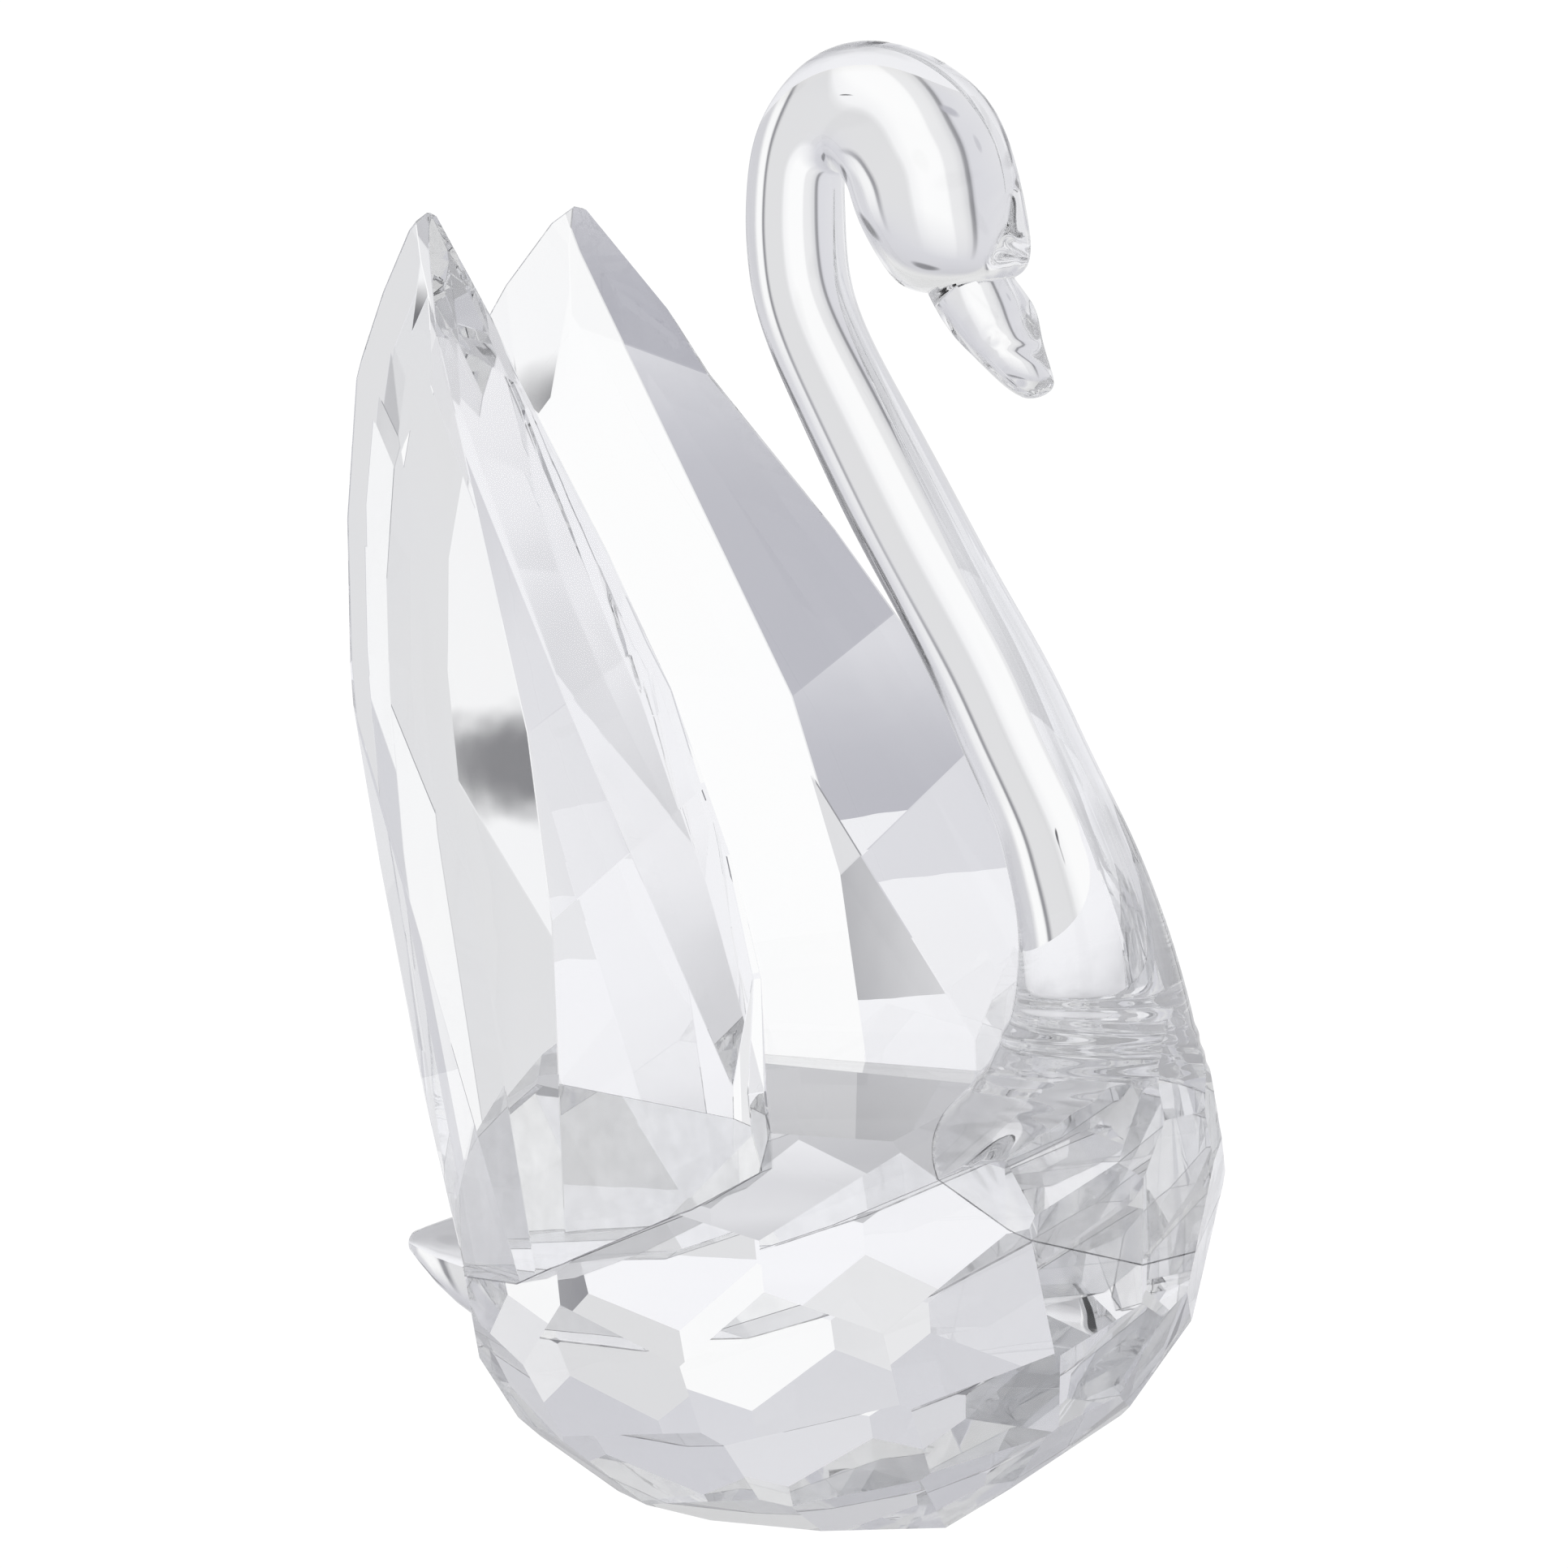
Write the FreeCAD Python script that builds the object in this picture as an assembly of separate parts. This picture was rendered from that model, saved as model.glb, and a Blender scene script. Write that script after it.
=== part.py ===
import FreeCAD, Part
import math
import os
from FreeCAD import Vector

# Clear crystal swan, ground and bonded from five pieces of solid glass.
# Frame: origin at the middle of the flat it stands on, +Z up, the swan faces -Y,
# its left side is +X.  Millimetres and degrees.

# ---------------------------------------------------------------- driving sizes
GLUE = 0.1                      # thickness of every adhesive film

BODY_MIDDLE = (1.2, 19.6)       # Y, Z of the middle of the egg-shaped body
BODY_PITCH = 13.0               # breast carried high, tail low
BODY_HALF_WIDTH = 20.1
BODY_HALF_LENGTH = 27.8
BODY_DEPTH_BELOW = 20.2         # half height of the egg below its long axis
BODY_RISE_ABOVE = 15.0          # flatter half height above it, away from the breast
CROWN_HEIGHT = 30.6             # ridge of the back between the wings
CROWN_SLOPE = 6.0
STAND_BACK = 4.1                # the flat it stands on lies this far behind the drawing line

# rows of facets round the body: elevation of the facet, how many, first bearing
LOWER_ROWS = [(-1.0, 14, 180.0 / 14), (-23.0, 14, 0.0), (-45.0, 12, 15.0), (-66.0, 10, 0.0)]
ROW_WOBBLE = 3.0                # facets of a row lean alternately more and less
FLANK_ROWS = [(27.0, 14, 0.0), (54.0, 12, 15.0)]
# breast facets shared by the neck foot: bearing, elevation, distance from the middle
BREAST_FACETS = [(0.0, 6.0, 29.4), (35.0, 10.5, 27.1), (68.0, 14.0, 23.0),
                 (17.0, 2.0, 28.3), (52.0, 2.0, 24.4)]
BREAST_BEARING = 60.0           # the level row leaves the breast free within this bearing
BREAST_TOP = 45.0               # the breast facets have run out into the neck by here

NECK_SEAT_SLOPE = 37.0          # the neck piece stands on a plane sloping down forward
NECK_SEAT_FRONT = (-26.5, 19.9)     # Y, Z of its lower front edge

# neck sections, foot to crown: Y, Z, tilt, half depth, half width
NECK_SECTIONS = [
    (-15.5, 18.0, 0, 17.0, 23.0), (-17.2, 24.0, 0, 13.0, 17.5), (-18.6, 28.0, 0, 9.8, 13.4),
    (-19.8, 30.8, 0, 7.9, 9.9), (-20.5, 33.2, 0, 6.9, 7.5), (-20.7, 36.7, 0, 5.9, 6.0),
    (-20.1, 41.5, -3, 5.0, 5.0), (-18.4, 46.2, -7, 4.5, 4.5), (-17.0, 49.3, -7, 4.2, 4.2),
    (-14.3, 53.9, -8, 4.1, 4.1), (-11.8, 58.4, -9, 4.0, 4.0), (-8.2, 63.7, -12, 3.8, 3.8),
    (-5.0, 68.5, -13, 3.8, 3.8), (-2.0, 73.3, -11, 3.7, 3.7), (0.1, 76.7, -9, 3.6, 3.6),
    (2.1, 80.1, -7, 3.5, 3.5), (3.5, 83.4, -6, 3.4, 3.4), (4.0, 86.6, -3, 3.4, 3.4),
    (4.1, 89.2, 0, 3.4, 3.4), (3.9, 92.1, 22, 3.4, 3.4), (2.9, 94.1, 49, 3.6, 3.6),
    (1.2, 95.5, 74, 4.1, 3.9)]
# head sections on from the crown of the neck to the forehead
HEAD_SECTIONS = [
    (-0.9, 96.0, 96, 4.6, 4.3), (-3.1, 95.4, 117, 5.1, 4.7), (-5.1, 94.2, 132, 5.5, 5.1),
    (-6.4, 92.6, 143, 5.8, 5.4), (-7.4, 90.5, 151, 5.7, 5.4), (-8.4, 88.2, 157, 5.4, 5.0),
    (-9.3, 86.3, 160, 5.0, 4.4), (-10.1, 85.0, 164, 4.3, 3.6), (-10.9, 84.1, 168, 2.9, 2.3)]
# bill sections from inside the head to the tip
BILL_SECTIONS = [
    (-8.6, 86.4, 152, 2.6, 2.9), (-10.3, 83.9, 156, 2.8, 2.8), (-11.9, 82.0, 160, 3.1, 2.5),
    (-13.0, 80.4, 158, 2.4, 2.3), (-14.2, 78.8, 154, 1.75, 2.1), (-15.2, 77.7, 150, 1.25, 1.7),
    (-15.8, 77.1, 148, 0.7, 1.0)]

# wings: a flat leaf standing on each flank, turned in towards the tail
WING_ORIGIN = (16.0, 0.0, 60.0)
WING_TOE_IN = 0.287             # sideways travel per millimetre of length
WING_LEAN = 0.03                # outward travel per millimetre of height
WING_TABLE = -1.8               # level of the flat inner face
WING_GIRDLE = 0.3               # half thickness of the rim
FRONT_BEVELS = [9.0, 8.5, 7.0, 5.5, 3.4, 4.0, 4.0]      # widths of the bevels inside, tip to foot
REAR_BEVELS = [4.5, 4.5, 4.8, 5.5, 7.0, 8.0, 8.0]       # and from the foot back up to the tip
# outline in the plane of the wing: forward, up
WING_FRONT = [(-28.0, 28.2), (-25.6, 25.6), (-19.8, 17.0), (-10.4, 6.3), (-3.7, -2.4),
              (1.8, -13.0), (4.5, -21.0), (4.8, -28.5)]
WING_FOOT = [(5.9, -33.6), (2.4, -36.1), (-7.6, -40.6), (-13.9, -42.9), (-23.1, -43.7)]
WING_REAR = [(-28.6, -44.5), (-33.6, -33.0), (-37.7, -16.8), (-39.9, -3.0), (-40.2, 7.0),
             (-38.6, 16.8), (-35.0, 23.0), (-31.6, 27.4), (-29.9, 28.6)]
# outer facets: a point of the rim side of each, its level, slope inward along the bearing
# given in the plane of the wing (90 = towards the front, 0 = straight up)
WING_OUTER = [
    ((-40.0, 0.0), 0.3, 0.20, 98.0),        # broad rear facet
    ((-36.6, 19.5), 0.3, 0.17, 122.0),      # rear facet running up to the tip
    ((-38.9, -10.0), 0.3, 0.43, 73.4),      # lower rear facet
    ((-15.0, 0.0), 3.7, 0.102, 139.0),      # middle facet, the thickest band
    ((-24.5, 12.0), 3.15, 0.12, 168.0),     # middle facet up to the tip
    ((-15.5, 11.5), 0.3, 0.36, 228.0),      # upper front facet
    ((-3.8, -2.5), 0.3, 0.36, 238.0),       # front facet
    ((3.2, -17.0), 0.3, 0.38, 249.0),       # front facet lower down
    ((6.2, -31.5), 1.0, 0.52, 272.0)]       # front facet of the foot

# tail: a pear-shaped point bonded to a small flat at the rear
TAIL_SEAT = (27.3, 14.2)        # Y, Z of the middle of the flat
TAIL_SEAT_SLOPE = -13.0
TAIL_TIP = (37.6, 15.5)         # Y, Z
TAIL_RADII = [(0.0, 4.5), (0.18, 4.25), (0.40, 3.55), (0.62, 2.6), (0.82, 1.5), (0.94, 0.8)]


# ---------------------------------------------------------------- shaping helpers
def direction(bearing, elevation):
    """Unit vector: bearing from straight ahead towards the left side, elevation upwards."""
    b, e = math.radians(bearing), math.radians(elevation)
    return Vector(math.sin(b) * math.cos(e), -math.cos(b) * math.cos(e), math.sin(e))


def beyond(point, normal):
    """A large block filling everything on the far side of a plane."""
    block = Part.makeBox(320, 320, 320, Vector(-160, -160, 0))
    block.Placement = FreeCAD.Placement(point, FreeCAD.Rotation(Vector(0, 0, 1), normal))
    return block


def grind(solid, planes, stop_height=None):
    """Grind a flat on the solid for every (point, outward normal), up to a height if given."""
    for point, normal in planes:
        wheel = beyond(point, normal)
        if stop_height is not None:
            wheel = wheel.common(Part.makeBox(200, 200, 200, Vector(-100, -100, stop_height - 200)))
        solid = solid.cut(wheel)
    return solid


def egg_plane(bearing, elevation, rise):
    """Facet plane touching the pitched egg; rise is its half height on that side."""
    n = direction(bearing, elevation)
    reach = math.sqrt((BODY_HALF_WIDTH * n.x) ** 2 + (BODY_HALF_LENGTH * n.y) ** 2 + (rise * n.z) ** 2)
    normal = FreeCAD.Rotation(Vector(1, 0, 0), -BODY_PITCH).multVec(n)
    return Vector(0, *BODY_MIDDLE) + normal * reach, normal


def row_bearings(count, first):
    """Bearings of the facets of a row, between -180 and 180."""
    return [(first + step * 360.0 / count + 180.0) % 360.0 - 180.0 for step in range(count)]


def level_planes():
    """Facet planes of the row at the widest level, leaving the breast free."""
    elevation, count, first = LOWER_ROWS[0]
    return [egg_plane(bearing, elevation + ROW_WOBBLE * math.cos(math.radians(3 * bearing)), BODY_DEPTH_BELOW)
            for bearing in row_bearings(count, first) if abs(bearing) > BREAST_BEARING]


def lower_planes():
    """Facet planes of the rows below the widest level."""
    planes = []
    for elevation, count, first in LOWER_ROWS[1:]:
        for bearing in row_bearings(count, first):
            lean = elevation + ROW_WOBBLE * math.cos(math.radians(3 * bearing))
            planes.append(egg_plane(bearing, lean, BODY_DEPTH_BELOW))
    return planes


def breast_planes():
    """Facet planes of the breast, both sides."""
    planes = []
    for bearing, elevation, reach in BREAST_FACETS:
        for side in ((1,) if bearing == 0 else (1, -1)):
            normal = direction(side * bearing, elevation)
            planes.append((Vector(0, *BODY_MIDDLE) + normal * reach, normal))
    return planes


def flank_planes():
    """Facet planes of the upper flanks, the rear and the back, clear of the breast."""
    planes = []
    for elevation, count, first in FLANK_ROWS:
        planes += [egg_plane(bearing, elevation, BODY_RISE_ABOVE)
                   for bearing in row_bearings(count, first) if abs(bearing) > 75.0]
    for side in (1, -1):
        normal = direction(side * 90.0, 90.0 - CROWN_SLOPE)
        planes.append((Vector(0, 0, CROWN_HEIGHT), normal))
    return planes


def neck_seat(depth):
    """Plane the neck piece stands on, lowered by depth; the normal points up and forward."""
    normal = direction(0.0, 90.0 - NECK_SEAT_SLOPE)
    front_y, front_z = NECK_SEAT_FRONT
    return Vector(0, front_y, front_z) - normal * depth, normal


def tail_seat(depth):
    """Flat at the rear that carries the tail, sunk by depth; the normal points backward."""
    normal = direction(180.0, TAIL_SEAT_SLOPE)
    return Vector(0, TAIL_SEAT[0], TAIL_SEAT[1]) - normal * depth, normal


# ---------------------------------------------------------------- left wing
WING_OUT = Vector(1, WING_TOE_IN, -WING_LEAN).normalize()
WING_FORWARD = Vector(WING_TOE_IN, -1, 0).normalize()
WING_UP = WING_OUT.cross(WING_FORWARD) * -1.0


def wing_point(forward, up, out):
    """A point given in the plane of the left wing."""
    return Vector(*WING_ORIGIN) + WING_FORWARD * forward + WING_UP * up + WING_OUT * out


def wing_prism(outline, low, high):
    """Outline in the plane of the wing, pulled from one level to another."""
    points = [wing_point(forward, up, low) for forward, up in outline]
    face = Part.Face(Part.makePolygon(points + points[:1]))
    return face.extrude(WING_OUT * (high - low))


def wing_plane(point, level, slope, bearing):
    """Outer facet: through a point of the rim, rising at a slope along a bearing."""
    b = math.radians(bearing)
    inward = WING_FORWARD * math.sin(b) + WING_UP * math.cos(b)
    normal = (WING_OUT - inward * slope).normalize()
    return wing_point(point[0], point[1], level), normal


def grown(outline, gap):
    """Closed outline moved outwards by a gap, corners mitred."""
    moved = []
    for index, (f, u) in enumerate(outline):
        before, after = outline[index - 1], outline[(index + 1) % len(outline)]
        a = math.atan2(f - before[0], before[1] - u)
        b = math.atan2(after[0] - f, u - after[1])
        reach = gap / math.cos((a - b) / 2) / 2
        moved.append((f + (math.cos(a) + math.cos(b)) * reach / math.cos((a - b) / 2),
                      u + (math.sin(a) + math.sin(b)) * reach / math.cos((a - b) / 2)))
    return moved


def wing_blank(gap, top):
    """The left wing with only its inner face ground, grown by a gap all round."""
    outline = grown(WING_FRONT + WING_FOOT + WING_REAR, gap)
    blank = wing_prism(outline, WING_TABLE - gap, top)
    drop = -WING_TABLE - WING_GIRDLE
    bevelled = ((outline[:len(WING_FRONT)], FRONT_BEVELS), (outline[-len(WING_REAR) + 1:], REAR_BEVELS))
    for edge, widths in bevelled:
        for (f0, u0), (f1, u1), width in zip(edge, edge[1:], widths):
            along = (wing_point(f1, u1, 0) - wing_point(f0, u0, 0)).normalize()
            inward = WING_OUT.cross(along)
            normal = (WING_OUT * -1.0 - inward * (drop / width)).normalize()
            blank = grind(blank, [(wing_point(f0, u0, -WING_GIRDLE - gap), normal)])
    return blank


def make_wing():
    """Left wing: a leaf blank ground on both faces, its foot flush with the flank."""
    wing = grind(wing_blank(0.0, 9.0), [wing_plane(*facet) for facet in WING_OUTER])
    return grind(wing, [plane for plane in level_planes() if plane[1].x > 0.85], CROWN_HEIGHT)


# ---------------------------------------------------------------- neck, head, tail
def ring(y, z, tilt, half_depth, half_width):
    """Smooth oval standing square to the plane of symmetry, always starting at the front."""
    t = math.radians(tilt)
    depth_axis = Vector(0, -math.cos(t), -math.sin(t))
    points = []
    for step in range(12):
        a = math.radians(30 * step)
        points.append(Vector(0, y, z) + depth_axis * (half_depth * math.cos(a))
                      + Vector(1, 0, 0) * (half_width * math.sin(a)))
    curve = Part.BSplineCurve()
    curve.interpolate(Points=points, PeriodicFlag=True)
    return Part.Wire(curve.toShape())


def make_neck():
    """Neck, head, bill and the faceted breast under them, all one piece of glass."""
    column = Part.makeLoft([ring(*s) for s in NECK_SECTIONS + HEAD_SECTIONS], True, False)
    bill = Part.makeLoft([ring(*s) for s in BILL_SECTIONS], True, False)
    point, normal = neck_seat(0.0)
    column = grind(column, breast_planes() + lower_planes() + level_planes(), BREAST_TOP)
    return grind(column, [(point, normal * -1.0)]).fuse(bill)


def make_tail():
    """Tail: a solid of revolution tapering to a rounded point."""
    root, normal = tail_seat(0.0)
    tip = Vector(0, TAIL_TIP[0], TAIL_TIP[1])
    axis = tip - root
    length = axis.Length
    axis.normalize()
    side = Vector(1, 0, 0)
    profile = [root - axis * 3.0 + side * TAIL_RADII[0][1]]
    profile += [root + axis * (share * length) + side * radius for share, radius in TAIL_RADII]
    curve = Part.BSplineCurve()
    curve.interpolate(profile + [tip], InitialTangent=axis, FinalTangent=side * -1.0)
    back = root - axis * 3.0
    outline = Part.Wire([curve.toShape(), Part.makeLine(tip, back), Part.makeLine(back, profile[0])])
    return grind(Part.Face(outline).revolve(root, axis, 360.0), [(root, normal * -1.0)])


def face_on(solid, point, normal):
    """The largest flat face of a solid lying on a plane."""
    flats = [face for face in solid.Faces
             if abs((face.CenterOfMass - point).dot(normal)) < 1e-4
             and abs(abs(face.normalAt(0, 0).dot(normal)) - 1.0) < 1e-6]
    return max(flats, key=lambda face: face.Area)


# ---------------------------------------------------------------- assembly
def build():
    """Make every piece in its place and return them by name."""
    wing_left = make_wing()
    neck = make_neck()
    tail = make_tail()

    neck_point, neck_normal = neck_seat(0.0)
    tail_point, tail_normal = tail_seat(0.0)

    blank = Part.makeBox(80, 80, 60, Vector(-40, -40, 0))
    blank = grind(blank, lower_planes() + level_planes() + breast_planes() + flank_planes())
    egg = grind(blank, [neck_seat(GLUE), tail_seat(GLUE)])
    pocket = wing_blank(GLUE, 32.0)
    mirror_plane = (Vector(0, 0, 0), Vector(1, 0, 0))
    body = egg.cut(pocket).cut(pocket.mirror(*mirror_plane))

    bond_left = egg.common(pocket).cut(wing_blank(0.0, 32.0))
    neck_bond = face_on(neck, neck_point, neck_normal).extrude(neck_normal * -GLUE)
    tail_bond = face_on(tail, tail_point, tail_normal).extrude(tail_normal * -GLUE)

    return {
        "body": body,
        "wing_left": wing_left,
        "wing_right": wing_left.mirror(*mirror_plane),
        "neck_and_head": neck,
        "tail": tail,
        "neck_bond": neck_bond,
        "wing_bond_left": bond_left,
        "wing_bond_right": bond_left.mirror(*mirror_plane),
        "tail_bond": tail_bond,
    }


def as_solid(shape):
    """The single solid inside a shape."""
    return max(shape.Solids, key=lambda solid: solid.Volume)


os.makedirs("parts", exist_ok=True)
for name, shape in build().items():
    solid = as_solid(shape)
    solid.translate(Vector(0, -STAND_BACK, 0))
    solid.exportStep(os.path.join("parts", name + ".step"))
    box = solid.BoundBox
    print("%-16s solids %d faces %3d valid %s volume %9.1f  x %6.1f..%5.1f  y %6.1f..%5.1f  z %5.1f..%5.1f"
          % (name, len(shape.Solids), len(solid.Faces), solid.isValid(), solid.Volume,
             box.XMin, box.XMax, box.YMin, box.YMax, box.ZMin, box.ZMax))
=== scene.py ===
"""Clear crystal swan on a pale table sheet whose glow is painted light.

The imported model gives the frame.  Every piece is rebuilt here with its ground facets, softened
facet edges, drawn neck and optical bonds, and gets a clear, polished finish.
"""

import logging
import math
from dataclasses import dataclass
from enum import Enum
from typing import Any, Callable, Iterable, Optional, Sequence

import bmesh
import bpy
from mathutils import Matrix, Vector


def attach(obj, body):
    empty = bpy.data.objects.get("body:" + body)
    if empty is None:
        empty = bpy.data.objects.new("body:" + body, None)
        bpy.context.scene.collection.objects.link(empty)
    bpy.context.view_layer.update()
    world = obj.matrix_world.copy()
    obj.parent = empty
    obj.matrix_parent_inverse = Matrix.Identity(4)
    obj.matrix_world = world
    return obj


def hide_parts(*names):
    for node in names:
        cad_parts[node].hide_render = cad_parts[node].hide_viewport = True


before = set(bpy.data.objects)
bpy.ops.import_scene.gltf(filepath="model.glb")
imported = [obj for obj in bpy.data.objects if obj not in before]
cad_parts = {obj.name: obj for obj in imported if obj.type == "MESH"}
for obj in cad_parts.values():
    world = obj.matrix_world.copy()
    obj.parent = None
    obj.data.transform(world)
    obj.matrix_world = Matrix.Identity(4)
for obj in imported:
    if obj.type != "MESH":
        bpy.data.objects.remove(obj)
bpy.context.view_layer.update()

LOG = logging.getLogger("swan")
BODY_NAME = "root"
MM = 0.001
DEGREES = math.degrees(1.0)     # in one radian
STAND_BACK = 4.1                # mm, the resting flat lies this far behind the drawing line
BONDED = 0.02                   # mm, bonded glass faces meet this far inside each other
FILM = 0.1                      # mm, thickness of the cured glue
SOFTEN = 0.07                   # mm, width of the tiny bevel on ground facet edges
MERGE = 1e-4                    # mm, corners closer than this are one
ONE_FACET = math.radians(0.2)   # faces that turn less than this are one facet
FACET_TURN = 0.03               # radians, an edge that turns more is a facet edge
EDGE_ON = 0.7                   # a film's face is its rim below this cosine to the seat
WHITE = (1.0, 1.0, 1.0, 1.0)
BLACK = (0.0, 0.0, 0.0, 1.0)
PLAIN_WHITE = 1.05              # strength at which table and backdrop read as plain white

Plane = tuple[Vector, Vector]                           # point, outward normal
Outline = list[tuple[float, float]]
Colour = tuple[float, float, float, float]
Stops = tuple[tuple[float, float, float, float], ...]   # degrees, red, green, blue


# ------------------------------------------------------------------ shader expressions
class Link:
    """A node socket that takes part in arithmetic."""

    def __init__(self, tree: "Nodes", socket: Any) -> None:
        """Hold an output socket of the tree in work."""
        self.tree = tree
        self.socket = socket

    def _math(self, operation: str, *terms: Any) -> "Link":
        """A Math node on the terms."""
        return self.tree.add("ShaderNodeMath", {"operation": operation}, dict(enumerate(terms)))

    def __add__(self, other: Any) -> "Link":
        """self + other."""
        return self._math("ADD", self, other)

    def __sub__(self, other: Any) -> "Link":
        """self - other."""
        return self._math("SUBTRACT", self, other)

    def __rsub__(self, other: Any) -> "Link":
        """other - self."""
        return self._math("SUBTRACT", other, self)

    def __mul__(self, other: Any) -> "Link":
        """self * other."""
        return self._math("MULTIPLY", self, other)

    __radd__ = __add__
    __rmul__ = __mul__

class Nodes:
    """A node tree that is filled by expressions."""

    def __init__(self, tree: bpy.types.NodeTree) -> None:
        """Take a tree and clear it."""
        self.tree = tree
        tree.nodes.clear()

    def add(self, kind: str, settings: Optional[dict[str, Any]] = None,
            sockets: Optional[dict[Any, Any]] = None, out: Any = 0) -> Link:
        """Add a node.

        Args:
            kind: the node's type name.
            settings: its own settings; a ramp's stops come as "stops".
            sockets: values or links by socket name or number.
            out: name or number of the output to return.

        Returns:
            The chosen output as a Link.
        """
        node = self.tree.nodes.new(kind)
        for name, value in (settings or {}).items():
            if name == "stops":
                ramp = node.color_ramp.elements
                while len(ramp) < len(value):
                    ramp.new(1.0)
                for stop, (place, colour) in zip(ramp, value):
                    stop.position, stop.color = place, colour
            else:
                setattr(node, name, value)
        for name, value in (sockets or {}).items():
            if isinstance(value, Link):
                self.tree.links.new(value.socket, node.inputs[name])
            else:
                node.inputs[name].default_value = value
        return Link(self, node.outputs[out] if len(node.outputs) else None)

    def noise(self, place: Link, scale: float, detail: float = 2.0) -> Link:
        """Soft noise; scale in patterns per metre."""
        return self.add("ShaderNodeTexNoise", sockets={"Vector": place, "Scale": scale, "Detail": detail})

    def blend(self, share: Link, low: Any, high: Any) -> Link:
        """Mix two colours; share is the part of the high one."""
        return self.add("ShaderNodeMix", {"data_type": "RGBA"}, {0: share, 6: low, 7: high}, out=2)

    def eased(self, value: Link, span: tuple[float, float], ends: tuple[float, float]) -> Link:
        """Ease from one end to the other while a value crosses a span.

        Args:
            value: the value.
            span: where it starts and stops to count.
            ends: what is given before and after the span.

        Returns:
            The eased value.
        """
        return self.add("ShaderNodeMapRange", {"interpolation_type": "SMOOTHSTEP"}, {
            "Value": value, "From Min": span[0], "From Max": span[1],
            "To Min": ends[0], "To Max": ends[1]})


# ------------------------------------------------------------------ finishes
def started(name: str) -> tuple[bpy.types.Material, Nodes, Link]:
    """Start a finish.

    Args:
        name: the material's name.

    Returns:
        The material, its empty tree, and the place on the piece that its patterns follow.
    """
    made = bpy.data.materials.new(name)
    made.use_nodes = True
    nodes = Nodes(made.node_tree)
    return made, nodes, nodes.add("ShaderNodeTexCoord", out="Object")


@dataclass(frozen=True)
class ClearCrystal:
    """Clear crystal, ground and polished, with a trace of tint and faint polish waves."""

    name: str
    ior: float = 1.545
    cool: Colour = (0.978, 0.985, 1.0, 1.0)
    warm: Colour = (1.0, 0.998, 0.988, 1.0)
    tint_scale: float = 70.0            # patterns per metre, as every scale here
    haze: float = 0.006                 # roughness of the polish at its dullest
    haze_scale: float = 90.0
    haze_detail: float = 3.0
    wave_height: float = 0.003          # mm
    wave_scale: float = 250.0
    wave_detail: float = 1.0

    def material(self) -> bpy.types.Material:
        """Make the material.

        Returns:
            Glass whose tint, haze and surface vary a little.
        """
        made, nodes, place = started(self.name)
        tint = nodes.blend(nodes.noise(place, self.tint_scale), self.cool, self.warm)
        haze = nodes.noise(place, self.haze_scale, self.haze_detail)
        wave = nodes.noise(place, self.wave_scale, self.wave_detail)
        polish = nodes.add("ShaderNodeBump", sockets={
            "Strength": 1.0, "Distance": self.wave_height * MM, "Height": wave}, out="Normal")
        glass = nodes.add("ShaderNodeBsdfPrincipled", sockets={
            "Base Color": tint, "Roughness": haze * self.haze, "IOR": self.ior,
            "Transmission Weight": 1.0, "Normal": polish})
        nodes.add("ShaderNodeOutputMaterial", sockets={"Surface": glass})
        return made


@dataclass(frozen=True)
class CuredAdhesive:
    """Clear glue film, visible only as a faint line."""

    name: str = "cured_adhesive"
    alpha: float = 0.10                 # the noise of the bubbles thins it
    colour: Colour = (0.62, 0.63, 0.66, 1.0)
    ior: float = 1.5
    roughness: float = 0.25
    bubble_scale: float = 700.0

    def material(self) -> bpy.types.Material:
        """Make the material.

        Returns:
            A film whose density varies with its fine bubbles.
        """
        made, nodes, place = started(self.name)
        bubbles = nodes.noise(place, self.bubble_scale)
        film = nodes.add("ShaderNodeBsdfPrincipled", sockets={
            "Base Color": self.colour, "Roughness": self.roughness, "IOR": self.ior,
            "Alpha": bubbles * self.alpha})
        nodes.add("ShaderNodeOutputMaterial", sockets={"Surface": film})
        return made


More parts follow.
